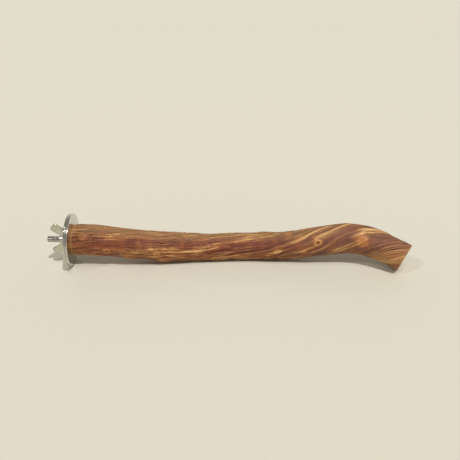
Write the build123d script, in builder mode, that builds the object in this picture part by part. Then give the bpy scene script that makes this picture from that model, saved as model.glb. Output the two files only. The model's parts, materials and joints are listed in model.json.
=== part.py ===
from build123d import *
import os
from math import sin, cos, radians

# A natural branch perch that bolts to the side of a cage, lying at rest on a table.
# The origin is on the bolt axis where the two washers meet, +X runs towards the
# branch tip, +Z is up, and the bolt points along -X, tilted up by bolt_tilt.

bolt_tilt = 4.0            # the washers hold the cut end up, so the bolt leans by this much

bolt_r = 3.0               # M6 stud, drawn as a plain cylinder
stud_length = 23.6         # stud standing out of the cut face
wood_screw_length = 32.0   # screw end inside the branch, tip included
wood_screw_point = 5.0
pilot_bite = 0.1           # how far the screw's radius bites past the pilot hole
stud_chamfer = 0.6

washer_r = 25.0
washer_t = 2.2
washer_gap = 0.3           # radial clearance of a washer's hole around the stud
washer_round = 0.35

hub_base_wall = 3.4        # metal around the bore at the nut's base and at its top
hub_top_wall = 2.1
hub_height = 7.6
nut_bore_gap = 0.05        # radial running clearance between the nut and the stud
nut_chamfer = 0.5
wing_t = 2.4
wing_lean = 38.0           # angle between a wing and the bolt axis
wing_width = 8.5
wing_reach = 17.2          # outermost corner of a wing, from the bolt axis
wing_height = 17.8         # furthest corner of a wing, from the nut's base
wing_corner = 1.6

cut_r = 13.9               # branch radius at the sawn end that takes the bolt
belly_r = 13.0             # the slimmest stretch, which touches the table
tip_r = 13.6
tip_heading = 36.0         # the tip bends this far towards -Y
tip_dip = 12.0             # and points down by this much
cut_chamfer = 0.5

washer_hole_r = bolt_r + washer_gap
hub_base_r = bolt_r + hub_base_wall
hub_top_r = bolt_r + hub_top_wall

cs = cos(radians(bolt_tilt))
sn = sin(radians(bolt_tilt))
outward = Vector(-cs, 0, sn)
bolt_line = Axis((0, 0, 0), (-cs, 0, sn))


def across(distance):
    """Plane square to the bolt axis, at a distance outward from the clamp plane."""
    return Plane(origin=outward * distance, x_dir=(sn, 0, cs), z_dir=outward)


def along(distance):
    """Plane holding the bolt axis: local x is away from the axis, local y is outward."""
    return Plane(origin=outward * distance, x_dir=(sn, 0, cs), z_dir=(0, -1, 0))


cut_at = -washer_t         # the sawn face, behind the inner washer
stud_end_at = cut_at + stud_length
nut_base_at = washer_t
table = -washer_t * sn - washer_r * cs

# The branch from the sawn face to the tip: x and y of its middle, the height of its
# underside above the table, and its radius. It sinks from the washers to the belly,
# arches up again and comes down to rest on the lower edge of the tip.
cut_middle = outward * cut_at
cut_lift = cut_middle.Z - cut_r - table
dip_cos = cos(radians(tip_dip))
dip_sin = sin(radians(tip_dip))
tip_lift = tip_r * dip_cos - cut_chamfer * dip_sin - tip_r
stations = [
    (cut_middle.X, 0, cut_lift, cut_r),
    (36, -0.6, 0.79 * cut_lift, 13.8),
    (74, -1.6, 0.29 * cut_lift, 14.1),
    (103, -1.2, 0.055 * cut_lift, 13.7),
    (132, -0.7, 0, belly_r),
    (168, -1.4, 0, belly_r),
    (202, -5.0, 1.1, 13.5),
    (240, -10.4, 6.8, 13.9),
    (272, -13.0, 9.1, 14.4),
    (288, -18.0, 7.0, 14.2),
    (303, -27.0, 3.9, 13.8),
    (315, -35.8, tip_lift, tip_r),
]
middles = [(x, y, table + lift + r) for x, y, lift, r in stations]
radii = [r for x, y, lift, r in stations]
tip_way = Vector(
    dip_cos * cos(radians(tip_heading)),
    -dip_cos * sin(radians(tip_heading)),
    -dip_sin,
)
with BuildLine():
    branch_axis = Spline(*middles, tangents=(-outward, tip_way))

with BuildPart() as branch:
    for middle, r in zip(middles, radii):
        way = branch_axis.tangent_at(Vector(*middle))
        with BuildSketch(Plane(origin=middle, x_dir=Vector(0, 1, 0).cross(way), z_dir=way)):
            Circle(r)
    loft()
    chamfer(branch.faces().filter_by(GeomType.PLANE).edges(), cut_chamfer)
    with BuildSketch(across(cut_at)):
        Circle(bolt_r - pilot_bite)
    extrude(amount=-(wood_screw_length - wood_screw_point), mode=Mode.SUBTRACT)
    with BuildSketch(along(cut_at - wood_screw_length + wood_screw_point)):
        with BuildLine():
            Polyline((0, 0), (bolt_r - pilot_bite, 0), (0, -wood_screw_point), close=True)
        make_face()
    revolve(axis=bolt_line, mode=Mode.SUBTRACT)
branch.part.label = "branch"

with BuildPart() as hanger_bolt:
    with BuildSketch(along(cut_at)):
        with BuildLine():
            Polyline(
                (0, stud_length),
                (bolt_r - stud_chamfer, stud_length),
                (bolt_r, stud_length - stud_chamfer),
                (bolt_r, wood_screw_point - wood_screw_length),
                (0, -wood_screw_length),
                close=True,
            )
        make_face()
    revolve(axis=bolt_line)
hanger_bolt.part.label = "hanger_bolt"

with BuildPart() as inner_washer:
    with BuildSketch(across(cut_at)):
        Circle(washer_r)
    extrude(amount=washer_t)
    fillet(inner_washer.edges().filter_by(GeomType.CIRCLE), washer_round)
    with BuildSketch(across(cut_at)):
        Circle(washer_hole_r)
    extrude(amount=washer_t, mode=Mode.SUBTRACT)
inner_washer.part.label = "inner_washer"

with BuildPart() as outer_washer:
    with BuildSketch(across(0)):
        Circle(washer_r)
    extrude(amount=washer_t)
    fillet(outer_washer.edges().filter_by(GeomType.CIRCLE), washer_round)
    with BuildSketch(across(0)):
        Circle(washer_hole_r)
    extrude(amount=washer_t, mode=Mode.SUBTRACT)
outer_washer.part.label = "outer_washer"

# A wing is a flat bar that leans outward from the hub, with its end cut square.
lean_x = sin(radians(wing_lean))
lean_y = cos(radians(wing_lean))
low_corner = (wing_reach, wing_height - wing_width * lean_x)
high_corner = (wing_reach - wing_width * lean_y, wing_height)
wing_heel = (low_corner[0] - 9.0 * lean_x, low_corner[1] - 9.0 * lean_y)

with BuildPart() as wing_nut:
    with BuildSketch(along(nut_base_at)):
        with BuildLine():
            Polyline(
                (0, 0),
                (hub_base_r - nut_chamfer, 0),
                (hub_base_r, nut_chamfer),
                (hub_top_r, hub_height - nut_chamfer),
                (hub_top_r - nut_chamfer, hub_height),
                (0, hub_height),
                close=True,
            )
        make_face()
    revolve(axis=bolt_line)
    with BuildSketch(along(nut_base_at)) as wings:
        with BuildLine():
            Polyline(
                (bolt_r, 1.0),
                (hub_base_r, 1.0),
                wing_heel,
                low_corner,
                high_corner,
                (hub_top_r - 0.6, hub_height - 0.2),
                (bolt_r, hub_height - 1.2),
                close=True,
            )
        make_face()
        fillet(wings.vertices().filter_by(lambda v: v.Y > low_corner[1] - 0.1), wing_corner)
        mirror(about=Plane.YZ)
    extrude(amount=wing_t / 2, both=True)
    with BuildSketch(across(nut_base_at)):
        Circle(bolt_r + nut_bore_gap)
    extrude(amount=hub_height, mode=Mode.SUBTRACT)
wing_nut.part.label = "wing_nut"

os.makedirs("parts", exist_ok=True)
export_step(branch.part, "parts/branch.step")
export_step(hanger_bolt.part, "parts/hanger_bolt.step")
export_step(inner_washer.part, "parts/inner_washer.step")
export_step(outer_washer.part, "parts/outer_washer.step")
export_step(wing_nut.part, "parts/wing_nut.step")
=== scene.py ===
import bpy
import bmesh
import json
import math
import numpy as np
from mathutils import Matrix, Vector
from mathutils.bvhtree import BVHTree


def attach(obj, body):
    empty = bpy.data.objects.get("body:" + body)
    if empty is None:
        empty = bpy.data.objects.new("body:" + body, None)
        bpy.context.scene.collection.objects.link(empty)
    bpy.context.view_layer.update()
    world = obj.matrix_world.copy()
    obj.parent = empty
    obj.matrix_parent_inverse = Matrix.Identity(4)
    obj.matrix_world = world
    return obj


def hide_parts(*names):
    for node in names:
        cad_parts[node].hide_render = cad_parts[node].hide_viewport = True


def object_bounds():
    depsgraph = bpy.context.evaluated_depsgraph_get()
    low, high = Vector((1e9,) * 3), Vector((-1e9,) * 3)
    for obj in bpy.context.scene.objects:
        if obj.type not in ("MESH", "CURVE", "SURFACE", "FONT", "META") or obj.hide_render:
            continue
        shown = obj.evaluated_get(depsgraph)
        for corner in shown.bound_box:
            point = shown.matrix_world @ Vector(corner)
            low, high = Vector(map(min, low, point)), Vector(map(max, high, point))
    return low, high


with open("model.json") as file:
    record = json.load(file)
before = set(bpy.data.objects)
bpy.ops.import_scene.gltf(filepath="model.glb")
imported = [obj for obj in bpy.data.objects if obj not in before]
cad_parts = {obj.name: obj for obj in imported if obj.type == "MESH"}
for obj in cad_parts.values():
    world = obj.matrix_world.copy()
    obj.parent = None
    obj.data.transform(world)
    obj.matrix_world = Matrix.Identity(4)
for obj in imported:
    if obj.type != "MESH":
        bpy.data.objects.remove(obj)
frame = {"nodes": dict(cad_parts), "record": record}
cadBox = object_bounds()
nodes = frame["nodes"]
print("frame loaded:", sorted(nodes))

# the bolt's place and directions come from the clamp, and every span from its own node
clamp = frame["record"]["mounts"][0]
boltPoint = np.array(clamp["pos_m"], float)
outward = np.array(clamp["axis"], float) / np.linalg.norm(clamp["axis"])
upward = np.array([0.0, 0.0, 1.0]) - outward * outward[2]
upward = upward / np.linalg.norm(upward)
sideways = np.cross(outward, upward)
floorHeight = cadBox[0].z


def vertexArray(node):
    return np.array([v.co[:] for v in nodes[node].data.vertices], float)


def spanOnBolt(node):  # where a node starts and ends along the bolt, and its widest radius
    rel = vertexArray(node) - boltPoint
    along = rel @ outward
    away = np.linalg.norm(rel - np.outer(along, outward), axis=1)
    return along.min(), along.max(), away.max()


def onBolt(radius, angle, along):  # points given by radius, angle and distance along the bolt
    radius, angle, along = np.broadcast_arrays(radius, angle, along)
    return (boltPoint + along[..., None] * outward
            + (radius * np.cos(angle))[..., None] * upward
            + (radius * np.sin(angle))[..., None] * sideways)


cutAlong = spanOnBolt("branch")[1]
innerSpan = spanOnBolt("inner_washer")
outerSpan = spanOnBolt("outer_washer")
boltSpan = spanOnBolt("hanger_bolt")
nutSpan = spanOnBolt("wing_nut")


def smoothStep(low, high, x):
    t = np.clip((x - low) / (high - low), 0, 1)
    return t * t * (3 - 2 * t)


def lattice(ix, iy, iz, seed):  # a steady pseudo-random number from -1 to 1 at each whole point
    largest = 0x7FFFFFFF  # the large factors below only mix the digits
    n = ix * 374761393 + iy * 668265263 + iz * 2147483647 + seed * 144665
    n = (n ^ (n >> 13)) & largest
    n = (n * (n * n * 15731 + 789221) + 1376312589) & largest
    return 1 - 2 * n / largest


def softNoise(points, seed):  # smooth noise from about -1 to 1, for many points at once
    base = np.floor(points).astype(np.int64)
    f = points - base
    f = f * f * f * (f * (f * 6 - 15) + 10)
    total = np.zeros(points.shape[:-1])
    for dx in (0, 1):
        for dy in (0, 1):
            for dz in (0, 1):
                share = ((f[..., 0] if dx else 1 - f[..., 0])
                         * (f[..., 1] if dy else 1 - f[..., 1])
                         * (f[..., 2] if dz else 1 - f[..., 2]))
                total += share * lattice(base[..., 0] + dx, base[..., 1] + dy,
                                         base[..., 2] + dz, seed)
    return total


def layeredNoise(points, layers, seed):
    total = np.zeros(points.shape[:-1])
    for k in range(layers):
        total += softNoise(points * 2 ** k, seed + 17 * k) / 2 ** k
    return total / 1.5


def ringMesh(name, rings, closeEnds=True):  # joins rings of points into one skin
    count, around = len(rings), rings[0].shape[0]
    points = np.concatenate(rings)
    faces = []
    for i in range(count - 1):
        a, b = i * around, (i + 1) * around
        faces += [(a + j, a + (j + 1) % around, b + (j + 1) % around, b + j) for j in range(around)]
    if closeEnds:
        c, last = len(points), (count - 1) * around
        faces += [(c, (j + 1) % around, j) for j in range(around)]
        faces += [(c + 1, last + j, last + (j + 1) % around) for j in range(around)]
        points = np.concatenate([points, [rings[0].mean(0), rings[-1].mean(0)]])
    mesh = bpy.data.meshes.new(name)
    mesh.from_pydata(points.tolist(), [], faces)
    mesh.update()
    return mesh


def faceOut(mesh):  # every face normal points out of the closed skin
    bm = bmesh.new()
    bm.from_mesh(mesh)
    bmesh.ops.recalc_face_normals(bm, faces=bm.faces)
    bm.to_mesh(mesh)
    bm.free()


def smoothShade(mesh):
    mesh.polygons.foreach_set("use_smooth", [True] * len(mesh.polygons))


def putNumber(mesh, name, values):
    mesh.attributes.new(name, "FLOAT", "POINT").data.foreach_set(
        "value", np.asarray(values, np.float32).ravel())


def putVector(mesh, name, values):
    mesh.attributes.new(name, "FLOAT_VECTOR", "POINT").data.foreach_set(
        "vector", np.asarray(values, np.float32).ravel())


def addPiece(name, mesh):
    piece = bpy.data.objects.new(name, mesh)
    bpy.context.scene.collection.objects.link(piece)
    return piece


def addNode(tree, kind, x, y, **settings):
    node = tree.nodes.new(kind)
    node.location = (x, y)
    for key, value in settings.items():
        if hasattr(node, key) and key not in node.inputs:
            setattr(node, key, value)
        else:
            node.inputs[key.replace("_", " ")].default_value = value
    return node


def join(tree, source, target):
    tree.links.new(source, target)


def mathNode(tree, x, y, operation, a, b=None, c=None, clampIt=False):
    node = addNode(tree, "ShaderNodeMath", x, y, operation=operation, use_clamp=clampIt)
    for socket, value in zip(node.inputs, (a, b, c)):
        if value is None:
            continue
        if isinstance(value, (int, float)):
            socket.default_value = value
        else:
            join(tree, value, socket)
    return node.outputs[0]


def mixColour(tree, x, y, factor, a, b, blend="MIX"):
    node = addNode(tree, "ShaderNodeMix", x, y, data_type="RGBA", blend_type=blend)
    for socket, value in ((node.inputs[0], factor), (node.inputs[6], a), (node.inputs[7], b)):
        if isinstance(value, (int, float)):
            socket.default_value = value
        elif isinstance(value, tuple):
            socket.default_value = (*value, 1)
        else:
            join(tree, value, socket)
    return node.outputs[2]


def colourRamp(tree, x, y, factor, stops):
    node = addNode(tree, "ShaderNodeValToRGB", x, y)
    ramp = node.color_ramp
    while len(ramp.elements) < len(stops):
        ramp.elements.new(0.5)
    for element, (place, colour) in zip(ramp.elements, stops):
        element.position = place
        element.color = (*colour, 1)
    join(tree, factor, node.inputs[0])
    return node.outputs[0]


def readNumber(tree, x, y, name):
    return addNode(tree, "ShaderNodeAttribute", x, y, attribute_name=name).outputs["Fac"]


def readVector(tree, x, y, name):
    return addNode(tree, "ShaderNodeAttribute", x, y, attribute_name=name).outputs["Vector"]


def newGroup(name, inputs, outputs):
    group = bpy.data.node_groups.new(name, "ShaderNodeTree")
    for label, kind, value in inputs:
        socket = group.interface.new_socket(name=label, in_out="INPUT", socket_type=kind)
        if value is not None:
            socket.default_value = value
    for label, kind in outputs:
        group.interface.new_socket(name=label, in_out="OUTPUT", socket_type=kind)
    start = addNode(group, "NodeGroupInput", -900, 0)
    end = addNode(group, "NodeGroupOutput", 700, 0)
    return group, start.outputs, end.inputs


def useGroup(tree, group, x, y, **values):
    node = addNode(tree, "ShaderNodeGroup", x, y, node_tree=group)
    for key, value in values.items():
        socket = node.inputs[key.replace("_", " ")]
        if isinstance(value, (int, float)):
            socket.default_value = value
        else:
            join(tree, value, socket)
    return node.outputs


def newMaterial(name):
    material = bpy.data.materials.new(name)
    material.use_nodes = True
    return material, material.node_tree, material.node_tree.nodes["Principled BSDF"]


def addBump(tree, shader, x, y, height, strength, distance):
    bump = addNode(tree, "ShaderNodeBump", x, y, Strength=strength, Distance=distance)
    join(tree, height, bump.inputs["Height"])
    join(tree, bump.outputs[0], shader.inputs["Normal"])


def makeFibreGroup():  # wood fibres drawn out along the grain
    group, inn, out = newGroup(
        "fibreGrain",
        [("Grain", "NodeSocketVector", None), ("Across", "NodeSocketFloat", 900.0),
         ("Along", "NodeSocketFloat", 40.0), ("Wander", "NodeSocketFloat", 0.3)],
        [("Streak", "NodeSocketFloat"), ("Hair", "NodeSocketFloat")])
    stretch = addNode(group, "ShaderNodeCombineXYZ", -700, -100)
    join(group, inn["Across"], stretch.inputs[0])
    join(group, inn["Across"], stretch.inputs[1])
    join(group, inn["Along"], stretch.inputs[2])
    drawn = addNode(group, "ShaderNodeVectorMath", -520, 0, operation="MULTIPLY")
    join(group, inn["Grain"], drawn.inputs[0])
    join(group, stretch.outputs[0], drawn.inputs[1])
    streak = addNode(group, "ShaderNodeTexNoise", -300, 100, Detail=5.0, Roughness=0.62, Scale=1.0)
    join(group, drawn.outputs[0], streak.inputs["Vector"])
    join(group, inn["Wander"], streak.inputs["Distortion"])
    hair = addNode(group, "ShaderNodeTexNoise", -300, -200, Detail=3.0, Roughness=0.7, Scale=3.7)
    join(group, drawn.outputs[0], hair.inputs["Vector"])
    join(group, streak.outputs["Fac"], out["Streak"])
    join(group, hair.outputs["Fac"], out["Hair"])
    return group


def makeHandlingGroup():  # smudges, turned lines and fine scratches on bare metal
    group, inn, out = newGroup(
        "handledMetal",
        [("Place", "NodeSocketVector", None), ("Smudge Size", "NodeSocketFloat", 90.0),
         ("Line Across", "NodeSocketFloat", 5000.0), ("Line Along", "NodeSocketFloat", 30.0)],
        [("Smudge", "NodeSocketFloat"), ("Lines", "NodeSocketFloat"), ("Scratch", "NodeSocketFloat")])
    smudge = addNode(group, "ShaderNodeTexNoise", -400, 250, Detail=4.0, Roughness=0.6)
    join(group, inn["Place"], smudge.inputs["Vector"])
    join(group, inn["Smudge Size"], smudge.inputs["Scale"])
    stretch = addNode(group, "ShaderNodeCombineXYZ", -700, -100)
    join(group, inn["Line Across"], stretch.inputs[0])
    join(group, inn["Line Along"], stretch.inputs[1])
    join(group, inn["Line Across"], stretch.inputs[2])
    drawn = addNode(group, "ShaderNodeVectorMath", -520, 0, operation="MULTIPLY")
    join(group, inn["Place"], drawn.inputs[0])
    join(group, stretch.outputs[0], drawn.inputs[1])
    lines = addNode(group, "ShaderNodeTexNoise", -300, 0, Detail=3.0, Roughness=0.6, Scale=1.0)
    join(group, drawn.outputs[0], lines.inputs["Vector"])
    turned = addNode(group, "ShaderNodeVectorRotate", -520, -300, rotation_type="EULER_XYZ",
                     Rotation=(0.4, 0.9, 0.7))
    join(group, inn["Place"], turned.inputs["Vector"])
    thin = addNode(group, "ShaderNodeVectorMath", -340, -300, operation="MULTIPLY")
    thin.inputs[1].default_value = (2600, 45, 2600)
    join(group, turned.outputs[0], thin.inputs[0])
    scratch = addNode(group, "ShaderNodeTexNoise", -160, -300, Detail=1.0, Scale=1.0)
    join(group, thin.outputs[0], scratch.inputs["Vector"])
    sharp = mathNode(group, 60, -300, "SUBTRACT", scratch.outputs["Fac"], 0.66)
    sharp = mathNode(group, 240, -300, "MULTIPLY", sharp, 9.0, clampIt=True)
    join(group, smudge.outputs["Fac"], out["Smudge"])
    join(group, lines.outputs["Fac"], out["Lines"])
    join(group, sharp, out["Scratch"])
    return group


def makeEdgeGroup():  # 1 on sharp outer edges, 0 elsewhere
    group, inn, out = newGroup(
        "edgeShine",
        [("Low", "NodeSocketFloat", 0.52), ("High", "NodeSocketFloat", 0.6)],
        [("Edge", "NodeSocketFloat")])
    geometry = addNode(group, "ShaderNodeNewGeometry", -500, 0)
    spread = addNode(group, "ShaderNodeMapRange", -200, 0, interpolation_type="SMOOTHSTEP")
    join(group, geometry.outputs["Pointiness"], spread.inputs["Value"])
    join(group, inn["Low"], spread.inputs["From Min"])
    join(group, inn["High"], spread.inputs["From Max"])
    join(group, spread.outputs["Result"], out["Edge"])
    return group


fibreGrain = makeFibreGroup()
handledMetal = makeHandlingGroup()
edgeShine = makeEdgeGroup()
print("shader groups made")


mm = 1000.0  # millimetres in a metre

branch = {
    "ringSpacing": 0.00054, "around": 148, "seed": 5,
    "edgeRound": 0.00035,                        # softened edge of both sawn ends
    "endCalm": 0.004, "endRelief": 0.35,         # the relief dies down over this length at each end
    "bevelLength": 0.0005, "bevelDrop": 0.0002,  # pale sawn arris next to the washer, the wood's own lighter sawn colour with a painted highlight
    "boreRadius": 0.0029, "boreDepth": 0.031, "boreCone": 0.003, "boreTip": 0.0001,
    "boreSteps": 12, "boltFaceSteps": 12, "tipFaceSteps": 34,
    "sawDepth": 0.00004, "sawLines": 2600, "sawDrift": 300,
    "outOfRound": 0.00045, "lumps": 0.00095, "hairHeight": 0.00014,
    "fibreHeight": 0.00062, "bandHeight": 0.00062, "crackDepth": 0.00045, "sliverHeight": 0.00035,
    "bandsFrom": 0.185, "bandsFull": 0.245,      # broad smooth bands take over towards the tip
    "floorGap": 0.00003,
    # lean of the grain: distance along (mm), angle (degrees)
    "grainTurn": [(0, 5), (60, 5), (100, 6.5), (185, 8.5), (210, 14), (235, 20), (262, 25),
                  (280, 29), (292, 34), (305, 40), (325, 43)],
    # strips along the grain: start (mm), angle there (degrees), end (mm), half width, light or dark
    "strips": [
        (200, 64, 268, 1.5, 0.24), (188, 96, 280, 1.3, 0.22), (238, 42, 270, 1.9, 0.20),
        (152, 92, 214, 2.6, -0.20), (196, 120, 236, 1.1, 0.20), (150, 70, 205, 2.4, -0.12),
        (264, 60, 302, 3.4, 0.30), (283, 97, 316, 0.55, 0.32), (290, 102, 319, 0.6, 0.30),
        (288, 166, 335, 11.0, 0.17), (288, 242, 335, 10.0, 0.17), (246, 124, 286, 2.6, 0.20),
        (70, 84, 100, 0.55, 0.30), (75, 97, 128, 0.6, 0.15), (98, 86, 135, 0.5, 0.15),
        (8, 52, 40, 0.6, 0.22), (150, 44, 196, 0.7, 0.26), (110, 112, 165, 1.5, 0.08),
        (60, 8, 160, 2.0, 0.08), (170, 12, 206, 1.4, 0.08), (30, 36, 48, 0.8, 0.24),
        (222, 34, 252, 1.0, 0.24), (203, 78, 274, 1.8, -0.26), (238, 79, 292, 1.7, -0.26),
        (285, 58, 316, 3.0, -0.36), (284, 107, 321, 2.2, -0.30), (245, 94, 276, 3.2, -0.20),
        (8, 94, 62, 2.8, -0.20), (18, 72, 110, 1.9, -0.20), (82, 62, 166, 1.9, -0.22),
        (128, 92, 204, 2.2, -0.20), (204, 27, 226, 2.2, -0.18), (140, 66, 206, 2.6, -0.20),
        (10, 30, 60, 0.7, -0.22), (95, 30, 150, 0.7, -0.20), (228, 18, 262, 1.2, -0.24),
    ],
    # distance along (mm), angle from the top (degrees), width and height (mm), how open its heart is
    "knots": [
        (20, 150, 6.0, 0.9, 0.0), (34, 104, 3.4, 0.5, 0.8), (54, 146, 6.5, 0.9, 0.0),
        (80, 98, 3.0, 0.55, 0.5), (86, 146, 6.0, 1.2, 0.2), (62, 57, 1.7, 0.25, 0.3),
        (104, 47, 1.8, 0.25, 0.6), (123, 250, 5.0, 0.8, 0.8), (60, 290, 4.5, 0.7, 0.5),
        (106, 358, 2.8, 0.3, 1.0), (170, 200, 5.5, 0.9, 0.6), (209, 12, 3.4, 0.6, 0.2),
        (197, 94, 2.6, 0.35, 0.3), (223, 98, 3.2, 0.5, 0.1), (236, 66, 3.6, 0.65, 1.0),
        (234, 41, 2.2, 0.25, 0.4), (279, 68, 6.6, 1.0, 0.22), (262, 235, 6.0, 1.0, 0.7),
        (296, 300, 4.6, 0.6, 0.6), (150, 320, 3.6, 0.5, 0.4), (226, 330, 4.2, 0.6, 0.7),
    ],
    # grain patterns: how fine across and along (per mm), layers, seed
    "patterns": {
        "wobble": (0.10, 0.035, 1, 3), "outOfRound": (0.07, 0.02, 1, 7), "lumps": (0.10, 0.06, 3, 11),
        "broad": (0.30, 0.016, 1, 21), "broadDetail": (0.72, 0.035, 1, 22),
        "medium": (0.50, 0.050, 1, 30), "fine": (1.05, 0.080, 2, 31), "hair": (1.5, 0.10, 2, 37),
        "longSplit": (0.55, 0.022, 1, 41), "longPatch": (0.16, 0.03, 1, 42),
        "shortSplit": (0.9, 0.05, 1, 43), "shortPatch": (0.2, 0.05, 1, 44),
        "cloud": (0.12, 0.02, 1, 61), "redCloud": (0.10, 0.03, 1, 71),
        "ragged": (0.5, 0.07, 1, 81), "sliver": (0.92, 0.095, 1, 91),
    },
    # shares of a knot's width, and how strongly each part of it shows
    "knotShape": {
        "squeeze": 0.8, "swirl": 0.12, "swirlFineness": 0.4, "domeSpread": 0.85,
        "lipAt": 0.62, "lipWidth": 0.2, "lipHeight": 0.28, "dipWidth": 0.33, "dipDepth": 0.55,
        "maskWidth": 0.8, "maskLeast": 0.35, "maskByHeight": 0.75, "heartWidth": 0.36,
        "bendWidth": 2.0, "bend": 0.26, "calmWidth": 1.5,
    },
    # how far each feature makes the wood lighter or darker
    "tones": {
        "base": 0.325, "fibre": 0.27, "hair": 0.10, "ridge": 0.16, "cloud": 0.10, "sliver": 0.24,
        "weathered": -0.02, "under": 0.03, "knot": 0.16, "arris": 0.30, "knotLip": 0.36,
        "strip": 1.3,
    },
    # the red patch: distance along (m), angle (radians), and its reach each way
    "redPatch": (0.168, 1.02, 0.030, 0.34),
}


def readBranchLine():  # follows the CAD branch from the sawn face to the tip: middles and radii
    mesh = nodes["branch"].data
    tree = BVHTree.FromPolygons([v.co for v in mesh.vertices], [p.vertices for p in mesh.polygons])
    step, reach, rays, lookBack, leastGap = 0.0025, 0.03, 24, 3, 0.0004
    middle = Vector(boltPoint + outward * cutAlong)
    way = -Vector(outward)
    middles, radii = [middle.copy()], [0.0]
    while True:
        guess = middle + way * step
        side = way.cross(Vector((0, 0, 1))).normalized()
        top = side.cross(way).normalized()
        hits = []
        for k in range(rays):
            a = k * math.tau / rays
            out = top * math.cos(a) + side * math.sin(a)
            hit = tree.ray_cast(guess + out * reach, -out, reach)[0]
            if hit is None:
                break
            hits.append(hit)
        if len(hits) < rays:
            break
        found = sum(hits, Vector()) / rays
        radii.append(sum((h - found).length for h in hits) / rays)
        heading = (found - middles[max(0, len(middles) - lookBack)]).normalized()
        way = (way * 0.5 + heading * 0.5).normalized()
        middle = found
        middles.append(found)
    radii[0] = radii[1]
    hit = tree.ray_cast(middles[-1] + way * 1e-4, way, reach)[0]
    if hit is not None and (hit - middles[-1]).length > leastGap:
        middles.append(middles[-1] + way * (hit - middles[-1]).length)
        radii.append(radii[-1])
    return np.array([m[:] for m in middles]), np.array(radii)


def smoothLine(values, passes):  # evens out a run of points and keeps both ends
    values = values.copy()
    for _ in range(passes):
        values[1:-1] = values[:-2] * 0.25 + values[1:-1] * 0.5 + values[2:] * 0.25
    return values


def branchFrames():  # evenly spaced middles, radii and directions along the branch
    middles, radii = readBranchLine()
    middles, radii = smoothLine(middles, 6), smoothLine(radii, 10)
    gaps = np.linalg.norm(np.diff(middles, axis=0), axis=1)
    along = np.concatenate([[0], np.cumsum(gaps)])
    count = int(along[-1] / branch["ringSpacing"])
    s = np.linspace(0, along[-1], count + 1)
    centre = np.stack([np.interp(s, along, middles[:, k]) for k in range(3)], 1)
    radius = smoothLine(np.interp(s, along, radii), 30)
    centre = smoothLine(centre, 60)
    way = np.gradient(centre, axis=0)
    way = smoothLine(way / np.linalg.norm(way, axis=1)[:, None], 40)
    way[0] = -outward
    way /= np.linalg.norm(way, axis=1)[:, None]
    top = np.array([0, 0, 1.0]) - way * way[:, 2:3]
    top /= np.linalg.norm(top, axis=1)[:, None]
    near = np.cross(way, top)
    return s, centre, radius, way, top, near


def pattern(ring, name):  # one of the branch's grain patterns, at every point of the skin
    across, along, layers, shift = branch["patterns"][name]
    points, seed = ring * (across, across, along), branch["seed"] + shift
    return softNoise(points, seed) if layers == 1 else layeredNoise(points, layers, seed)


def aroundTurn(angle):  # brings angles to between minus and plus half a turn
    return (angle + math.pi) % math.tau - math.pi


def knotFields(alongAll, angleAll, radiusAll):
    # over the skin: height, colour mask, dark heart, pale lip, bend of the grain, calm round each knot
    k = branch["knotShape"]
    dome, mask, heart, lip, bend, calm = (np.zeros_like(alongAll) for _ in range(6))
    for place, turn, width, height, openness in branch["knots"]:
        ds = alongAll * mm - place
        da = aroundTurn(angleAll - math.radians(turn))
        across = da * radiusAll * mm
        d = np.sqrt((ds * k["squeeze"]) ** 2 + across ** 2) / width
        fineness = k["swirlFineness"]
        swirlAt = np.stack([ds * fineness, across * fineness, alongAll * 0 + place], -1)
        d = d * (1 + k["swirl"] * softNoise(swirlAt, branch["seed"]))
        lipHere = np.exp(-((d - k["lipAt"]) / k["lipWidth"]) ** 2)
        dome += height * np.exp(-(d * k["domeSpread"]) ** 2) / mm
        dome += openness * k["lipHeight"] * lipHere / mm
        dome -= openness * k["dipDepth"] * np.exp(-(d / k["dipWidth"]) ** 2) / mm
        lip = np.maximum(lip, openness * lipHere)
        shown = min(1, k["maskLeast"] + height * k["maskByHeight"])
        mask = np.maximum(mask, np.exp(-(d / k["maskWidth"]) ** 4) * shown)
        heart = np.maximum(heart, openness * np.exp(-(d / k["heartWidth"]) ** 2))
        bend -= da * np.exp(-(d / k["bendWidth"]) ** 2) * k["bend"]
        calm = np.maximum(calm, np.exp(-(d / k["calmWidth"]) ** 2))
    return dome, mask, heart, lip, bend, calm


def stripField(s, twist, flow, ring, alongAll, radiusAll):  # light and dark strips along the grain
    tone = np.zeros_like(alongAll)
    ragged = 0.8 * pattern(ring, "ragged")
    place = alongAll * mm
    for start, turn, stop, halfWidth, shift in branch["strips"]:
        centreFlow = math.radians(turn) + np.interp(start / mm, s, twist)
        across = np.abs(aroundTurn(flow - centreFlow) * radiusAll * mm + ragged) / halfWidth
        ends = smoothStep(start - 5, start + 5, place) * (1 - smoothStep(stop - 6, stop + 4, place))
        tone += branch["tones"]["strip"] * shift * (1 - smoothStep(0.70, 1.20, across)) * ends
    return tone


def crackField(ring, fibrous, calm, sliver):  # long splits everywhere, short ones on the fibrous part
    split = np.abs(pattern(ring, "longSplit"))
    patch = smoothStep(0.0, 0.55, pattern(ring, "longPatch"))
    crack = (1 - smoothStep(0.02, 0.10, split)) * patch * (1 - 0.8 * calm)
    split = np.abs(pattern(ring, "shortSplit"))
    patch = smoothStep(0.1, 0.5, pattern(ring, "shortPatch"))
    crack = np.maximum(crack, 0.8 * (1 - smoothStep(0.04, 0.16, split)) * patch * fibrous)
    return crack * (1 - 0.7 * sliver)


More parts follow.
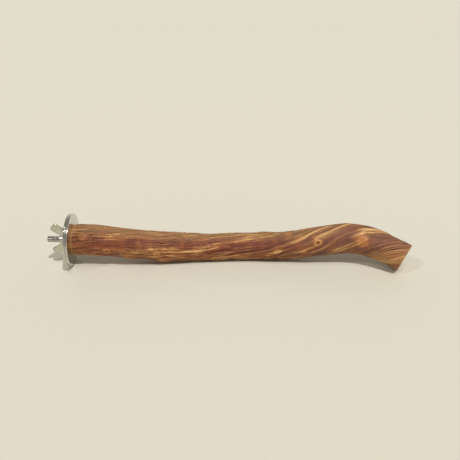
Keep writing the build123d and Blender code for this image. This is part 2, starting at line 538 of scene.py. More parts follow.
def branchSkin(s, radius):
    # heights and colour masks over the skin, by distance along (rows) and angle (columns)
    around = branch["around"]
    angle = np.arange(around) * math.tau / around
    turnAt, turnBy = np.array(branch["grainTurn"], float).T
    lean = np.radians(np.interp(s * mm, turnAt, turnBy))
    twist = np.concatenate([[0], np.cumsum(np.tan(lean[1:]) / radius[1:] * np.diff(s))])
    alongAll, angleAll = np.meshgrid(s, angle, indexing="ij")
    radiusAll = np.repeat(radius[:, None], around, 1)

    def ringPlaces(flow):
        across = radiusAll * mm
        return np.stack([np.cos(flow) * across, np.sin(flow) * across, alongAll * mm], -1)

    knotDome, knotMask, heart, knotLip, bend, calmed = knotFields(alongAll, angleAll, radiusAll)
    flow = angleAll + twist[:, None] + bend  # grain lines open round the knots
    flow = flow + pattern(ringPlaces(flow), "wobble") * 0.07
    ring = ringPlaces(flow)

    banded = smoothStep(branch["bandsFrom"], branch["bandsFull"], alongAll)
    fibrous = 1 - 0.6 * banded
    broad = pattern(ring, "broad") + 0.38 * pattern(ring, "broadDetail")
    ridge = smoothStep(-0.22, 0.30, broad)
    medium, hair = pattern(ring, "medium"), pattern(ring, "hair")
    fibre = smoothStep(-0.42, 0.45, 0.45 * medium + 0.75 * pattern(ring, "fine"))
    stripTone = stripField(s, twist, flow, ring, alongAll, radiusAll)
    sliver = smoothStep(0.40, 0.55, pattern(ring, "sliver")) * (1 - 0.5 * banded)
    crack = crackField(ring, fibrous, calmed, sliver)

    calm = 1 - 0.75 * calmed
    fromCut = alongAll / branch["bevelLength"]
    height = branch["outOfRound"] * pattern(ring, "outOfRound")
    height = height + branch["lumps"] * pattern(ring, "lumps") * fibrous + knotDome
    height += banded * calm * branch["bandHeight"] * (0.5 * (ridge - 0.5) + 1.4 * stripTone)
    height += fibrous * calm * branch["fibreHeight"] * (fibre - 0.5)
    height += branch["sliverHeight"] * sliver * calm
    height += calm * branch["hairHeight"] * hair
    height -= crack * branch["crackDepth"]
    height -= branch["bevelDrop"] * (1 - smoothStep(0.3, 1.1, fromCut))
    # the sawn arris is painted paler: the wood's own sawn colour and a painted highlight along the edge
    arris = 1 - smoothStep(0.75, 1.25, fromCut + 0.15 * medium)
    crack = crack * (1 - arris)

    # the hollows stay dark, the top has weathered, and the underside is a little lighter
    facing = aroundTurn(angleAll)
    weathered = smoothStep(0.85, 0.15, np.abs(facing - 0.05)) * (1 - 0.8 * smoothStep(0.19, 0.26, alongAll))
    under = smoothStep(1.75, 2.2, facing) * (1 - smoothStep(0.25, 0.3, alongAll))
    t = branch["tones"]
    tone = t["base"] + t["fibre"] * (fibre - 0.5) * (0.45 + 0.55 * fibrous) + t["hair"] * hair
    tone += stripTone + t["ridge"] * banded * (ridge - 0.5) + t["cloud"] * pattern(ring, "cloud")
    tone += t["sliver"] * sliver + t["weathered"] * weathered + t["under"] * under
    tone += t["knot"] * knotMask + t["arris"] * arris + t["knotLip"] * knotLip
    redAt, redTurn, redLong, redWide = branch["redPatch"]
    redPatch = np.exp(-((alongAll - redAt) / redLong) ** 2 - ((facing - redTurn) / redWide) ** 2)
    red = 0.25 - 1.6 * stripTone + 0.45 * redPatch + 0.5 * pattern(ring, "redCloud")
    red = np.clip(red, 0, 1) * (1 - 0.75 * banded)
    masks = {"tone": np.clip(tone, 0, 1), "crack": np.clip(crack, 0, 1), "knot": knotMask,
             "heart": heart, "weathered": weathered, "red": red, "banded": banded}
    return angle, flow, height, masks


def buildBranch():
    s, centre, radius, way, top, near = branchFrames()
    angle, flow, height, masks = branchSkin(s, radius)
    around, edge, total = branch["around"], branch["edgeRound"], s[-1]
    out = (np.cos(angle)[None, :, None] * top[:, None, :]
           + np.sin(angle)[None, :, None] * near[:, None, :])
    # the first and last rings keep to the sawn faces, with a softened edge
    toEnd = np.minimum(s, total - s)
    drop = edge * (1 - np.sqrt(np.clip(1 - (1 - np.clip(toEnd / edge, 0, 1)) ** 2, 0, 1)))
    full = smoothStep(0, branch["endCalm"], toEnd)[:, None]
    reach = radius[:, None] + height * full + height * branch["endRelief"] * (1 - full) - drop[:, None]
    skin = centre[:, None, :] + out * reach[..., None]
    skin[..., 2] = np.maximum(skin[..., 2], floorHeight + branch["floorGap"])

    rings, grain, spread = [], [], {key: [] for key in masks}

    def addRing(points, depth, row, spin):
        rings.append(points)
        away = np.linalg.norm(points - centre[row], axis=1) * mm
        grain.append(np.stack([np.cos(spin) * away, np.sin(spin) * away,
                               np.full(around, depth * mm)], 1))
        for key in masks:
            spread[key].append(masks[key][row])

    def flatRing(row, share):  # a ring on a sawn face, with slight saw marks inside its edge
        points = centre[row] + (skin[row] - centre[row]) * share
        across = (points - centre[row]) @ top[row]
        drift = 2 * np.sin(across * branch["sawDrift"])
        waves = branch["sawDepth"] * np.sin(across * branch["sawLines"] + drift) * (share < 0.97)
        return points + way[row] * waves[:, None]

    bore, depth = branch["boreRadius"], branch["boreDepth"]
    boreTip = centre[0] + way[0] * (depth + branch["boreCone"])
    addRing(boreTip + out[0] * branch["boreTip"], depth, 0, angle)
    for inside in np.linspace(depth, 0.0, branch["boreSteps"]):
        addRing(centre[0] + out[0] * bore + way[0] * inside, inside, 0, angle)
    for share in np.linspace(bore / reach[0].mean(), 1, branch["boltFaceSteps"])[1:-1]:
        addRing(flatRing(0, share), 0.0, 0, flow[0])
    firstSkin = len(rings)
    for row in range(len(s)):
        addRing(skin[row], s[row], row, flow[row])
    lastSkin, last = len(rings) - 1, len(s) - 1
    for share in np.linspace(1, 0, branch["tipFaceSteps"])[1:-1]:
        addRing(flatRing(last, share), total, last, flow[last])

    mesh = ringMesh("branch_wood", rings)
    endPoints = np.array([[0, 0, depth * mm], [0, 0, total * mm]])  # the middles that close both ends
    putVector(mesh, "grain", np.concatenate(grain + [endPoints]))
    for key in masks:
        values = np.concatenate(spread[key])
        putNumber(mesh, key, np.concatenate([values, values[-1:], values[-1:]]))
    faceOut(mesh)
    smoothShade(mesh)
    faceRing = np.array([min(p.vertices) // around for p in mesh.polygons])
    sawn = (faceRing < firstSkin) | (faceRing >= lastSkin)
    mesh.polygons.foreach_set("material_index", sawn.astype(np.int32))
    piece = addPiece("branch_wood", mesh)
    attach(piece, "perch")
    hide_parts("branch")
    print("branch built:", len(mesh.polygons), "faces, length", round(total, 4))
    return piece


def peeledBranchMaterial():
    look = {
        "darkBark": (0.085, 0.030, 0.018), "redBark": (0.205, 0.066, 0.030),
        "brown": (0.315, 0.135, 0.045), "tan": (0.560, 0.290, 0.105), "pale": (0.820, 0.510, 0.220),
        "olive": (0.400, 0.260, 0.105), "orange": (0.540, 0.185, 0.040),
        "scarlet": (0.330, 0.070, 0.030), "purpleBark": (0.170, 0.072, 0.052),
        "crackColour": (0.040, 0.014, 0.009), "heartColour": (0.120, 0.036, 0.016),
        "coarseStreak": 1.10, "coarseShift": -0.545, "thinStreak": 1.05, "thinShift": -0.525,
        "warmth": 0.55, "redness": 0.35, "oliveness": 0.40, "knotOrange": 0.6, "fineCracks": 0.55,
        "crackDark": 0.66, "rubAndSheen": 0.28, "relief": 0.75, "reliefHeight": 0.00035, "shine": 0.30,
    }
    material, tree, shader = newMaterial("peeledBranch")
    grain = readVector(tree, -1500, 0, "grain")
    coarse = useGroup(tree, fibreGrain, -1250, 200, Grain=grain, Across=0.90, Along=0.070, Wander=0.35)
    thin = useGroup(tree, fibreGrain, -1250, -50, Grain=grain, Across=2.6, Along=0.10, Wander=0.4)
    tone = readNumber(tree, -1250, 420, "tone")
    push = mathNode(tree, -1000, 300, "MULTIPLY_ADD", coarse["Streak"], look["coarseStreak"],
                    look["coarseShift"])
    fineShift = mathNode(tree, -1000, 120, "MULTIPLY_ADD", thin["Streak"], look["thinStreak"],
                         look["thinShift"])
    mixed = mathNode(tree, -820, 320, "ADD", tone, push)
    mixed = mathNode(tree, -680, 280, "ADD", mixed, fineShift, clampIt=True)
    wood = colourRamp(tree, -500, 300, mixed, [
        (0.08, look["darkBark"]), (0.28, look["redBark"]), (0.46, look["brown"]),
        (0.68, look["tan"]), (0.90, look["pale"])])
    shadeShare = mathNode(tree, -500, 480, "SUBTRACT", 0.85, mixed, clampIt=True)
    purple = mathNode(tree, -340, 520, "MULTIPLY", shadeShare, readNumber(tree, -700, 560, "banded"))
    wood = mixColour(tree, -220, 420, purple, wood, look["purpleBark"])
    blotch = addNode(tree, "ShaderNodeTexNoise", -1000, -250, Detail=3.0, Scale=0.11)
    join(tree, grain, blotch.inputs["Vector"])
    warm = mathNode(tree, -800, -250, "MULTIPLY_ADD", blotch.outputs["Fac"], 1.7, -0.72)
    warm = mathNode(tree, -640, -250, "MAXIMUM", warm, 0.0)
    warm = mathNode(tree, -480, -250, "MULTIPLY", warm, look["warmth"])
    wood = mixColour(tree, -220, 250, warm, wood, look["orange"])
    red = mathNode(tree, -480, -400, "MULTIPLY", readNumber(tree, -700, -420, "red"), look["redness"])
    wood = mixColour(tree, -60, 200, red, wood, look["scarlet"])
    grey = mathNode(tree, -480, -560, "MULTIPLY", readNumber(tree, -700, -560, "weathered"),
                    look["oliveness"])
    wood = mixColour(tree, 100, 150, grey, wood, look["olive"])
    knot = mathNode(tree, -100, -300, "MULTIPLY", readNumber(tree, -300, -300, "knot"),
                    look["knotOrange"])
    wood = mixColour(tree, 260, 100, knot, wood, look["orange"])
    wood = mixColour(tree, 420, 60, readNumber(tree, -300, -450, "heart"), wood, look["heartColour"])
    cracked = readNumber(tree, -300, -600, "crack")
    fineCrack = mathNode(tree, -100, -600, "SUBTRACT", 0.40, thin["Hair"])
    fineCrack = mathNode(tree, 60, -600, "MULTIPLY", fineCrack, 7.0, clampIt=True)
    fineCrack = mathNode(tree, 220, -600, "MULTIPLY", fineCrack, look["fineCracks"])
    allCracks = mathNode(tree, 380, -560, "MAXIMUM", cracked, fineCrack)
    darkened = mathNode(tree, 500, -420, "MULTIPLY", allCracks, look["crackDark"])
    wood = mixColour(tree, 580, 40, darkened, wood, look["crackColour"])
    # convex ridges and edges turn paler: partly rubbed wood, partly a painted highlight along them
    edge = useGroup(tree, edgeShine, 300, 300, Low=0.505, High=0.575)["Edge"]
    rubAndSheen = mathNode(tree, 480, 300, "MULTIPLY", edge, look["rubAndSheen"])
    wood = mixColour(tree, 740, 80, rubAndSheen, wood, look["pale"])
    join(tree, wood, shader.inputs["Base Color"])
    rough = mathNode(tree, 560, -150, "MULTIPLY_ADD", thin["Hair"], 0.16, 0.42)
    join(tree, rough, shader.inputs["Roughness"])
    relief = mathNode(tree, 400, -800, "ADD", coarse["Streak"],
                      mathNode(tree, 240, -800, "MULTIPLY", thin["Streak"], 0.7))
    relief = mathNode(tree, 560, -800, "ADD", relief,
                      mathNode(tree, 400, -960, "MULTIPLY", thin["Hair"], 0.4))
    relief = mathNode(tree, 720, -800, "SUBTRACT", relief, allCracks)
    addBump(tree, shader, 900, -700, relief, look["relief"], look["reliefHeight"])
    shader.inputs["Specular IOR Level"].default_value = look["shine"]
    shader.location = (1100, 0)
    tree.nodes["Material Output"].location = (1400, 0)
    return material


def sawnWoodMaterial():
    look = {
        "early": (0.620, 0.400, 0.205), "late": (0.270, 0.120, 0.048),
        "heartwood": (0.260, 0.105, 0.042), "rim": (0.150, 0.060, 0.028),
        "ringsPerMm": 0.85, "ringWander": 2.6,
        "coreOutside": 5.2, "coreInside": 1.2,     # mm from the middle, where the heartwood fades
        "rimInside": 12.4, "rimOutside": 13.4,     # mm from the middle, where the bark line starts
        "poreDark": 0.5, "coreDark": 0.65, "checkDark": 0.7,
        "relief": 0.6, "reliefHeight": 0.0003, "shine": 0.3,
    }
    material, tree, shader = newMaterial("sawnWood")
    grain = readVector(tree, -1300, 0, "grain")
    flat = addNode(tree, "ShaderNodeVectorMath", -1100, 0, operation="MULTIPLY")
    flat.inputs[1].default_value = (1, 1, 0)
    join(tree, grain, flat.inputs[0])
    away = addNode(tree, "ShaderNodeVectorMath", -900, 0, operation="LENGTH")
    join(tree, flat.outputs[0], away.inputs[0])
    wander = addNode(tree, "ShaderNodeTexNoise", -1100, 200, Detail=3.0, Scale=0.22)
    join(tree, flat.outputs[0], wander.inputs["Vector"])
    shifted = mathNode(tree, -700, 60, "MULTIPLY_ADD", wander.outputs["Fac"], look["ringWander"],
                       away.outputs["Value"])
    ringsNow = mathNode(tree, -540, 60, "MULTIPLY", shifted, look["ringsPerMm"])
    ringsNow = mathNode(tree, -400, 60, "FRACT", ringsNow)
    ringColour = colourRamp(tree, -240, 60, ringsNow, [
        (0.0, look["early"]), (0.55, look["early"]), (0.90, look["late"]), (1.0, look["early"])])
    fibres = useGroup(tree, fibreGrain, -900, -250, Grain=grain, Across=3.2, Along=0.4, Wander=0.6)
    pores = mathNode(tree, -640, -250, "SUBTRACT", 0.42, fibres["Hair"])
    pores = mathNode(tree, -480, -250, "MULTIPLY", pores, 8.0, clampIt=True)
    pores = mathNode(tree, -160, -200, "MULTIPLY", pores, look["poreDark"])
    direction = addNode(tree, "ShaderNodeVectorMath", -900, -450, operation="NORMALIZE")
    join(tree, flat.outputs[0], direction.inputs[0])
    rays = addNode(tree, "ShaderNodeTexNoise", -700, -450, Detail=3.0, Scale=16.0)
    join(tree, direction.outputs[0], rays.inputs["Vector"])
    check = mathNode(tree, -500, -450, "SUBTRACT", rays.outputs["Fac"], 0.66)
    check = mathNode(tree, -340, -450, "MULTIPLY", check, 14.0, clampIt=True)
    core = addNode(tree, "ShaderNodeMapRange", -500, 300,
                   From_Min=look["coreOutside"], From_Max=look["coreInside"])
    join(tree, shifted, core.inputs["Value"])
    core = mathNode(tree, 0, 300, "MULTIPLY", core.outputs[0], look["coreDark"])
    rim = addNode(tree, "ShaderNodeMapRange", -500, 560,
                  From_Min=look["rimInside"], From_Max=look["rimOutside"])
    join(tree, away.outputs["Value"], rim.inputs["Value"])
    split = mathNode(tree, 320, -300, "MULTIPLY", check, look["checkDark"])
    colour = mixColour(tree, 0, 0, pores, ringColour, look["late"])
    colour = mixColour(tree, 160, 0, core, colour, look["heartwood"])
    colour = mixColour(tree, 320, 0, rim.outputs[0], colour, look["rim"])
    colour = mixColour(tree, 480, 0, split, colour, look["rim"])
    join(tree, colour, shader.inputs["Base Color"])
    rough = mathNode(tree, 300, -450, "MULTIPLY_ADD", fibres["Streak"], 0.2, 0.62)
    join(tree, rough, shader.inputs["Roughness"])
    relief = mathNode(tree, 300, -620, "SUBTRACT", fibres["Hair"], check)
    addBump(tree, shader, 500, -620, relief, look["relief"], look["reliefHeight"])
    shader.inputs["Specular IOR Level"].default_value = look["shine"]
    return material


branchPiece = buildBranch()
branchPiece.data.materials.append(peeledBranchMaterial())
branchPiece.data.materials.append(sawnWoodMaterial())
print("branch materials made")


def metalMaterial(name, look):  # smudged, faintly lined metal; its sharp edges take a painted reflection colour, a painted highlight where it is pale and a painted dark reflection where it is dark
    material, tree, shader = newMaterial(name)
    place = readVector(tree, -1200, 0, "turned")
    marks = useGroup(tree, handledMetal, -950, 0, Place=place, Smudge_Size=look["smudgeSize"],
                     Line_Across=look["lineAcross"], Line_Along=look["lineAlong"])
    edge = useGroup(tree, edgeShine, -950, 350, Low=0.51, High=0.60)["Edge"]
    shade = colourRamp(tree, -600, 250, marks["Smudge"], [
        (0.30, look["dull"]), (0.70, look["clean"])])
    # painted reflection on the sharp edges: this colour stands in for light caught by the edges, not for
    # wear
    paintedEdgeReflection = mathNode(tree, -500, 450, "MULTIPLY", edge, look["edgeReflectionShare"])
    colour = mixColour(tree, -250, 250, paintedEdgeReflection, shade, look["edgeReflectionColour"])
    lined = mathNode(tree, -450, 0, "MULTIPLY_ADD", marks["Lines"], look["lineShade"],
                     1 - look["lineShade"] * 0.5)
    tint = addNode(tree, "ShaderNodeCombineColor", -280, 0)
    for socket in tint.inputs:
        join(tree, lined, socket)
    colour = mixColour(tree, -60, 200, 1.0, colour, tint.outputs[0], blend="MULTIPLY")
    join(tree, colour, shader.inputs["Base Color"])
    rough = mathNode(tree, -450, -200, "MULTIPLY_ADD", marks["Smudge"], look["roughSpread"],
                     look["roughness"] - look["roughSpread"] * 0.5)
    rough = mathNode(tree, -280, -200, "ADD", rough,
                     mathNode(tree, -450, -380, "MULTIPLY", marks["Scratch"], 0.15))
    join(tree, rough, shader.inputs["Roughness"])
    relief = mathNode(tree, -280, -500, "SUBTRACT", marks["Lines"],
                      mathNode(tree, -450, -560, "MULTIPLY", marks["Scratch"], 0.7))
    addBump(tree, shader, -60, -450, relief, look["relief"], 0.00003)
    shader.inputs["Metallic"].default_value = 1.0
    return material


def turnedPlaces(mesh):  # radius, arc length and distance along the bolt, for lathe lines
    rel = np.array([v.co[:] for v in mesh.vertices], float) - boltPoint
    along = rel @ outward
    x, y = rel @ upward, rel @ sideways
    away = np.hypot(x, y)
    putVector(mesh, "turned", np.stack([away, np.arctan2(y, x) * away.mean(), along], 1))


bolt = {
    "threadPitch": 0.001, "threadDepth": 0.00058, "crestTrim": 0.00006,
    "around": 40, "perTurn": 14,
    "shankShare": 0.93, "runIn": 0.002,          # the plain part under the thread
    "endStep": 0.0004, "endSlope": 0.9, "endDish": 0.00004,
    "screwPitch": 0.0026, "screwDepth": 0.00085, "screwPoint": 0.007, "screwRunOut": 0.004,
    "screwSteps": 12, "plainShank": 0.0015, "pointGap": 0.0001,
}


def threadRadius(major, depth, phase):  # a rolled thread: flat crest, sloping sides, rounded root
    wave = np.abs(((phase % 1) - 0.5) * 2)
    return major - depth * smoothStep(0.34, 0.95, wave)


def buildBolt():
    start, end, major = boltSpan
    major = major - bolt["crestTrim"]
    around = bolt["around"]
    angle = np.arange(around) * math.tau / around
    step = bolt["threadPitch"] / bolt["perTurn"]
    shank = cutAlong - bolt["plainShank"]
    rings = []
    hidden = np.arange(start + bolt["pointGap"], shank, bolt["screwPitch"] / bolt["screwSteps"])
    for along in hidden:  # screw end inside the wood, with a point
        phase = along / bolt["screwPitch"] - angle / math.tau
        wave = np.abs(((phase % 1) - 0.5) * 2)
        crest = (1 - smoothStep(0.0, 0.45, wave)) * bolt["screwDepth"]
        core = major - bolt["screwDepth"]
        taper = smoothStep(0, bolt["screwPoint"], along - start)
        runOut = smoothStep(shank, shank - bolt["screwRunOut"], along)
        rings.append(onBolt((core + crest * runOut) * taper, angle, along))
    plain = major * bolt["shankShare"]
    rings.append(onBolt(np.full(around, plain), angle, shank))
    for along in np.arange(shank + step, end - 1e-5, step):  # machine thread
        phase = along / bolt["threadPitch"] - angle / math.tau
        radius = threadRadius(major, bolt["threadDepth"], phase)
        runIn = smoothStep(shank, shank + bolt["runIn"], along)
        radius = radius * runIn + plain * (1 - runIn)
        cone = major - bolt["endStep"] + (end - along) * bolt["endSlope"]
        rings.append(onBolt(np.minimum(radius, cone), angle, along))
    for share in (0.96, 0.7, 0.35):  # slightly dished end
        dished = end - bolt["endDish"] * (1 - share)
        rings.append(onBolt((major - bolt["endStep"]) * share, angle, dished))
    mesh = ringMesh("hanger_bolt_thread", rings)
    faceOut(mesh)
    smoothShade(mesh)
    mesh.set_sharp_from_angle(angle=math.radians(50))
    turnedPlaces(mesh)
    piece = addPiece("hanger_bolt_thread", mesh)
    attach(piece, "perch")
    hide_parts("hanger_bolt")
    print("bolt built:", len(mesh.polygons), "faces")
    return piece


boltPiece = buildBolt()
# the pale edge colour here is a painted highlight on the thread crests and edges
boltPiece.data.materials.append(metalMaterial("rolledSteel", {
    "dull": (0.44, 0.41, 0.39), "clean": (0.70, 0.67, 0.64), "edgeReflectionColour": (0.88, 0.86, 0.83),
    "roughness": 0.17, "roughSpread": 0.18, "smudgeSize": 400.0, "lineAcross": 9000.0,
    "lineAlong": 300.0, "lineShade": 0.10, "edgeReflectionShare": 0.5, "relief": 0.25}))


washer = {"around": 176, "rollOver": 0.00085, "burrRound": 0.0006, "holeRound": 0.0003,
          "holeRadius": 0.0033, "dish": 0.00004, "outOfRound": 0.0006}


def washerProfile(start, end, rim, flip):
    # radius and distance pairs, once round the section; flip turns the plate over
    thick = end - start
    roll, burr, hole = washer["rollOver"], washer["burrRound"], washer["holeRound"]
    inner = washer["holeRadius"]
    points = []

    def arc(cr, ca, radius, a0, a1, steps):
        for k in range(steps + 1):
            a = math.radians(a0 + (a1 - a0) * k / steps)
            points.append((cr + radius * math.cos(a), ca + radius * math.sin(a)))

    arc(inner + hole, hole, hole, 180, 270, 4)
    for share in (0.08, 0.3, 0.6, 0.88):
        r = inner + (rim - inner) * share
        points.append((r, washer["dish"] * math.sin(share * math.pi)))
    arc(rim - burr, burr, burr, 270, 360, 5)
    arc(rim - roll, thick - roll, roll, 0, 90, 8)
    for share in (0.88, 0.6, 0.3, 0.08):
        r = inner + (rim - inner) * share
        points.append((r, thick - washer["dish"] * math.sin(share * math.pi)))
    arc(inner + hole, thick - hole, hole, 90, 180, 4)
    return [(r, end - a if flip else start + a) for r, a in points]


def buildWasher(name, node, span, body, flip):
    around = washer["around"]
    angle = np.arange(around) * math.tau / around
    start, end, rim = span
    rings = []
    for radius, along in washerProfile(start, end, rim, flip):
        lobes = np.sin(3 * angle + 5 * start * mm)
        wobble = 1 + washer["outOfRound"] * lobes * (radius / rim) ** 2
        rings.append(onBolt(np.minimum(radius * wobble, rim), angle, along))
    rings.append(rings[0])
    mesh = ringMesh(name, rings, closeEnds=False)
    bm = bmesh.new()
    bm.from_mesh(mesh)
    bmesh.ops.remove_doubles(bm, verts=bm.verts, dist=1e-7)
    bmesh.ops.recalc_face_normals(bm, faces=bm.faces)
    bm.to_mesh(mesh)
    bm.free()
    smoothShade(mesh)
    turnedPlaces(mesh)
    piece = addPiece(name, mesh)
    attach(piece, body)
    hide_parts(node)
    return piece


# the pale edge colour here is a painted highlight on the washer rims
washerLook = {
    "dull": (0.50, 0.485, 0.44), "clean": (0.70, 0.685, 0.64), "edgeReflectionColour": (0.86, 0.85, 0.82),
    "roughness": 0.15, "roughSpread": 0.12, "smudgeSize": 60.0, "lineAcross": 5200.0,
    "lineAlong": 22.0, "lineShade": 0.12, "edgeReflectionShare": 0.4, "relief": 0.10}
innerPiece = buildWasher("inner_washer_plate", "inner_washer", innerSpan, "inner_washer", True)
outerPiece = buildWasher("outer_washer_plate", "outer_washer", outerSpan, "outer_washer", False)
washerSteel = metalMaterial("polishedWasher", washerLook)
innerPiece.data.materials.append(washerSteel)
outerPiece.data.materials.append(washerSteel)
print("washers built")


wingNut = {
    "baseRadius": 0.0064, "topRadius": 0.0051, "hubHeight": 0.0076, "hubRound": 0.0007,
    "wingLean": 38.0, "wingWidth": 0.0085, "wingReach": 0.0172, "wingThick": 0.0024,
    "heelLength": 0.0088, "wingRootIn": 0.0040, "wingRootLift": 0.0008, "edgeInset": 0.00045,
    "tipRound": 0.0027, "cornerSteps": 6, "softenPasses": 9, "hubAround": 96,
    "voxel": 0.00022, "boreRadius": 0.00304, "boreDepth": 0.00054, "boreMost": 0.0036,
    "mouthChamfer": 0.0003, "cutterPast": 0.002, "cutterSteps": 12,
    "dentSmall": 0.000035, "dentLarge": 0.00005, "seatBand": 0.00012, "seatGap": 0.00002,
}


def wingOutline(height):  # one wing seen flat: pairs of distance from the axis and height
    n = wingNut
    lean, reach, width = math.radians(n["wingLean"]), n["wingReach"], n["wingWidth"]
    low = Vector((reach, height - width * math.sin(lean)))
    high = Vector((reach - width * math.cos(lean), height))
    heel = low - Vector((math.sin(lean), math.cos(lean))) * n["heelLength"]
    corners = [  # each with its rounding
        (Vector((n["wingRootIn"], n["wingRootLift"])), 0.0003),
        (Vector((n["baseRadius"] + 0.0006, n["wingRootLift"])), 0.003),
        (heel, 0.004), (low, n["tipRound"]), (high, n["tipRound"]),
        (Vector((n["topRadius"] - 0.0008, n["hubHeight"] - 0.0004)), 0.002),
        (Vector((n["wingRootIn"], n["hubHeight"] - 0.0014)), 0.0003)]
    points = []
    for k, (corner, rounding) in enumerate(corners):
        toBefore = corners[k - 1][0] - corner
        toAfter = corners[(k + 1) % len(corners)][0] - corner
        before, after = toBefore.normalized(), toAfter.normalized()
        back = min(rounding / math.tan(before.angle(after) / 2), toBefore.length * 0.45,
                   toAfter.length * 0.45)
        a, b = corner + before * back, corner + after * back
        for j in range(n["cornerSteps"] + 1):
            t = j / n["cornerSteps"]
            points.append((a * (1 - t) + corner * t) * (1 - t) + (corner * (1 - t) + b * t) * t)
    return points


def buildHub():  # the turned middle of the nut, before its thread is tapped
    n, rounded, height = wingNut, wingNut["hubRound"], wingNut["hubHeight"]
    profile = [(0.0, 0.0), (n["baseRadius"] - rounded, 0.0),
               (n["baseRadius"] - rounded * 0.3, rounded * 0.3), (n["baseRadius"], rounded),
               (n["baseRadius"] - 0.0004, 0.0028), (n["topRadius"] + 0.0003, height * 0.75),
               (n["topRadius"], height - rounded),
               (n["topRadius"] - rounded * 0.3, height - rounded * 0.3),
               (n["topRadius"] - rounded, height), (0.0, height)]
    angle = np.arange(n["hubAround"]) * math.tau / n["hubAround"]
    return ringMesh("hub", [onBolt(max(r, 1e-5), angle, nutSpan[0] + a) for r, a in profile])


def addWing(bm, outline, side):  # four layers of the outline; the outer two are drawn in a little
    middle = Vector((sum(p.x for p in outline) / len(outline), sum(p.y for p in outline) / len(outline)))
    hand = 1 if side == 0 else -1
    layers = []
    for shift, inset in ((-0.5, wingNut["edgeInset"]), (-0.30, 0.0), (0.30, 0.0),
                         (0.5, wingNut["edgeInset"])):
        layer = []
        for p in outline:
            q = p + (middle - p).normalized() * inset
            thick = wingNut["wingThick"] * (1.12 - 0.22 * smoothStep(0.006, 0.017, p.x))
            place = onBolt(q.x, side, nutSpan[0] + q.y) + sideways * shift * thick * hand
            layer.append(bm.verts.new(place))
        layers.append(layer)
    count = len(outline)
    for a, b in zip(layers, layers[1:]):
        for k in range(count):
            bm.faces.new((a[k], a[(k + 1) % count], b[(k + 1) % count], b[k]))
    bm.faces.new(layers[0])
    bm.faces.new(layers[-1][::-1])


def buildNutBody():
    bm = bmesh.new()
    hub = buildHub()
    bm.from_mesh(hub)
    outline = wingOutline(nutSpan[1] - nutSpan[0])
    for side in (0, math.pi):
        addWing(bm, outline, side)
    bmesh.ops.recalc_face_normals(bm, faces=bm.faces)
    mesh = bpy.data.meshes.new("wing_nut_forging")
    bm.to_mesh(mesh)
    bm.free()
    bpy.data.meshes.remove(hub)
    return mesh


def buildThreadCutter():  # the thread that taps the nut, in step with the bolt's own
    n, around, base = wingNut, 64, nutSpan[0]
    angle = np.arange(around) * math.tau / around
    top, step = base + n["hubHeight"], bolt["threadPitch"] / n["cutterSteps"]
    rings = []
    for along in np.arange(base - n["cutterPast"], top + n["cutterPast"], step):
        phase = along / bolt["threadPitch"] - angle / math.tau
        radius = threadRadius(n["boreRadius"], n["boreDepth"], phase)
        mouth = np.minimum(along - base, top - along)
        radius = np.maximum(radius, n["boreRadius"] + n["mouthChamfer"] - mouth)
        rings.append(onBolt(np.minimum(radius, n["boreMost"]), angle, along))
    mesh = ringMesh("thread_cutter", rings)
    faceOut(mesh)
    return addPiece("thread_cutter", mesh)


def applyModifier(piece, modifier):
    with bpy.context.temp_override(object=piece, active_object=piece, selected_objects=[piece]):
        bpy.ops.object.modifier_apply(modifier=modifier.name)


def buildWingNut():
    piece = addPiece("wing_nut_forging", buildNutBody())
    weld = piece.modifiers.new("weld", "REMESH")
    weld.mode, weld.voxel_size, weld.use_smooth_shade = "VOXEL", wingNut["voxel"], True
    applyModifier(piece, weld)
    soften = piece.modifiers.new("soften", "SMOOTH")
    soften.factor, soften.iterations = 0.5, wingNut["softenPasses"]
    applyModifier(piece, soften)
    bm = bmesh.new()  # forging scale: tiny uneven dents, and the base kept flat on the washer
    bm.from_mesh(piece.data)
    points = np.array([v.co[:] for v in bm.verts])
    dents = (wingNut["dentSmall"] * layeredNoise(points * 900, 2, 8)
             + wingNut["dentLarge"] * softNoise(points * 260, 9))
    for v, dent in zip(bm.verts, dents):
        v.co += v.normal * dent
        along = (np.array(v.co) - boltPoint) @ outward
        if along < nutSpan[0] + wingNut["seatBand"]:
            v.co += Vector(outward) * (nutSpan[0] + wingNut["seatGap"] - along)
    bm.to_mesh(piece.data)
    bm.free()
    cutter = buildThreadCutter()
    cut = piece.modifiers.new("tap", "BOOLEAN")
    cut.operation, cut.object, cut.solver = "DIFFERENCE", cutter, "EXACT"
    applyModifier(piece, cut)
    bpy.data.objects.remove(cutter)
    smoothShade(piece.data)
    piece.data.set_sharp_from_angle(angle=math.radians(45))
    turnedPlaces(piece.data)
    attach(piece, "wing_nut")
    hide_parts("wing_nut")
    print("wing nut built:", len(piece.data.polygons), "faces")
    return piece


nutPiece = buildWingNut()
nutPiece.data.materials.clear()
# the dark edge colour here is a painted dark reflection along the wing edges
nutPiece.data.materials.append(metalMaterial("forgedSteel", {
    "dull": (0.50, 0.465, 0.395), "clean": (0.71, 0.67, 0.58), "edgeReflectionColour": (0.24, 0.22, 0.19),
    "roughness": 0.24, "roughSpread": 0.14, "smudgeSize": 260.0, "lineAcross": 2400.0,
    "lineAlong": 1800.0, "lineShade": 0.14, "edgeReflectionShare": 0.9, "relief": 0.35}))


table = {"colour": (0.700, 0.675, 0.580), "roughness": 0.30, "halfSize": 60.0}


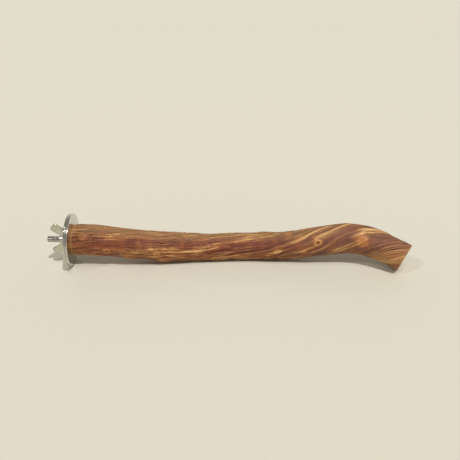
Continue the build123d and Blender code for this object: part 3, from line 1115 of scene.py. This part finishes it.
def makeTable():  # the plain floor under the piece
    mesh = bpy.data.meshes.new("floor")
    half = table["halfSize"]
    corners = [(x, y, floorHeight) for x, y in ((-half, -half), (half, -half), (half, half), (-half, half))]
    mesh.from_pydata(corners, [], [(0, 1, 2, 3)])
    material = bpy.data.materials.new("paleTable")
    material.use_nodes = True
    shader = material.node_tree.nodes["Principled BSDF"]
    shader.inputs["Base Color"].default_value = (*table["colour"], 1)
    shader.inputs["Roughness"].default_value = table["roughness"]
    mesh.materials.append(material)
    floor = addPiece("floor", mesh)


makeTable()

studio = {
    # direction to each lamp, strength, how wide it looks (degrees), colour
    "key": ((0.26, -0.47, 1.0), 1.95, 2.5, (1.0, 0.985, 0.96)),
    "left": ((-0.85, -0.45, 1.0), 0.46, 3.5, (1.0, 0.98, 0.95)),
    "back": ((0.05, -0.18, 1.0), 0.42, 3.5, (1.0, 0.98, 0.95)),
    "roomColour": (1.0, 0.94, 0.82), "roomFront": 0.40, "roomBack": 0.78, "roomTop": 0.22,
}


def addSun(name, direction, strength, wide, colour):
    lamp = bpy.data.lights.new(name, "SUN")
    lamp.energy, lamp.angle, lamp.color = strength, math.radians(wide), colour
    lampObject = bpy.data.objects.new(name, lamp)
    lampObject.location = Vector(direction)
    lampObject.rotation_euler = Vector(direction).to_track_quat("Z", "Y").to_euler()
    bpy.context.scene.collection.objects.link(lampObject)


for lampName in ("key", "left", "back"):
    addSun(lampName + "Light", *studio[lampName])


def makeRoom():  # a pale room, darker towards the viewer and overhead
    world = bpy.data.worlds.new("studio")
    world.use_nodes = True
    tree = world.node_tree
    background = tree.nodes["Background"]
    direction = addNode(tree, "ShaderNodeTexCoord", -900, 0).outputs["Generated"]
    parts = addNode(tree, "ShaderNodeSeparateXYZ", -720, 0)
    join(tree, direction, parts.inputs[0])
    sideShade = addNode(tree, "ShaderNodeMapRange", -520, 100, interpolation_type="SMOOTHSTEP",
                        From_Min=-0.8, From_Max=0.7,
                        To_Min=studio["roomFront"], To_Max=studio["roomBack"])
    join(tree, parts.outputs["Y"], sideShade.inputs["Value"])
    ceiling = addNode(tree, "ShaderNodeMapRange", -520, -200, interpolation_type="SMOOTHSTEP",
                      From_Min=0.25, From_Max=0.80)
    join(tree, parts.outputs["Z"], ceiling.inputs["Value"])
    blend = addNode(tree, "ShaderNodeMix", -300, 0)
    join(tree, ceiling.outputs[0], blend.inputs[0])
    join(tree, sideShade.outputs[0], blend.inputs[2])
    blend.inputs[3].default_value = studio["roomTop"]
    background.inputs[0].default_value = (*studio["roomColour"], 1)
    join(tree, blend.outputs[0], background.inputs[1])
    bpy.context.scene.world = world


makeRoom()

view = {"azimuth": -4.3, "elevation": 27.5, "roll": 0.3, "lens": 36.0, "sensor": 36.0,
        "distance": 0.44, "aimShift": (0.0010, 0.0042, 0.0087)}  # aim: shift from the box's middle


def placeCamera():
    camera = bpy.data.objects.new("camera", bpy.data.cameras.new("camera"))
    camera.data.lens, camera.data.sensor_width = view["lens"], view["sensor"]
    camera.data.clip_start = 0.01
    turned, raised, roll = (math.radians(view[k]) for k in ("azimuth", "elevation", "roll"))
    back = Vector((math.sin(turned) * math.cos(raised), -math.cos(turned) * math.cos(raised),
                   math.sin(raised)))
    level = Vector((math.cos(turned), math.sin(turned), 0))
    rise = back.cross(level)
    right = level * math.cos(roll) + rise * math.sin(roll)
    top = rise * math.cos(roll) - level * math.sin(roll)
    turn = Matrix((right, top, back)).transposed().to_4x4()
    aim = (cadBox[0] + cadBox[1]) / 2 + Vector(view["aimShift"])
    camera.matrix_world = Matrix.Translation(aim + back * view["distance"]) @ turn
    bpy.context.scene.collection.objects.link(camera)
    bpy.context.scene.camera = camera


placeCamera()
bpy.context.scene.view_settings.view_transform = "Standard"
print("floor, lights and camera placed")
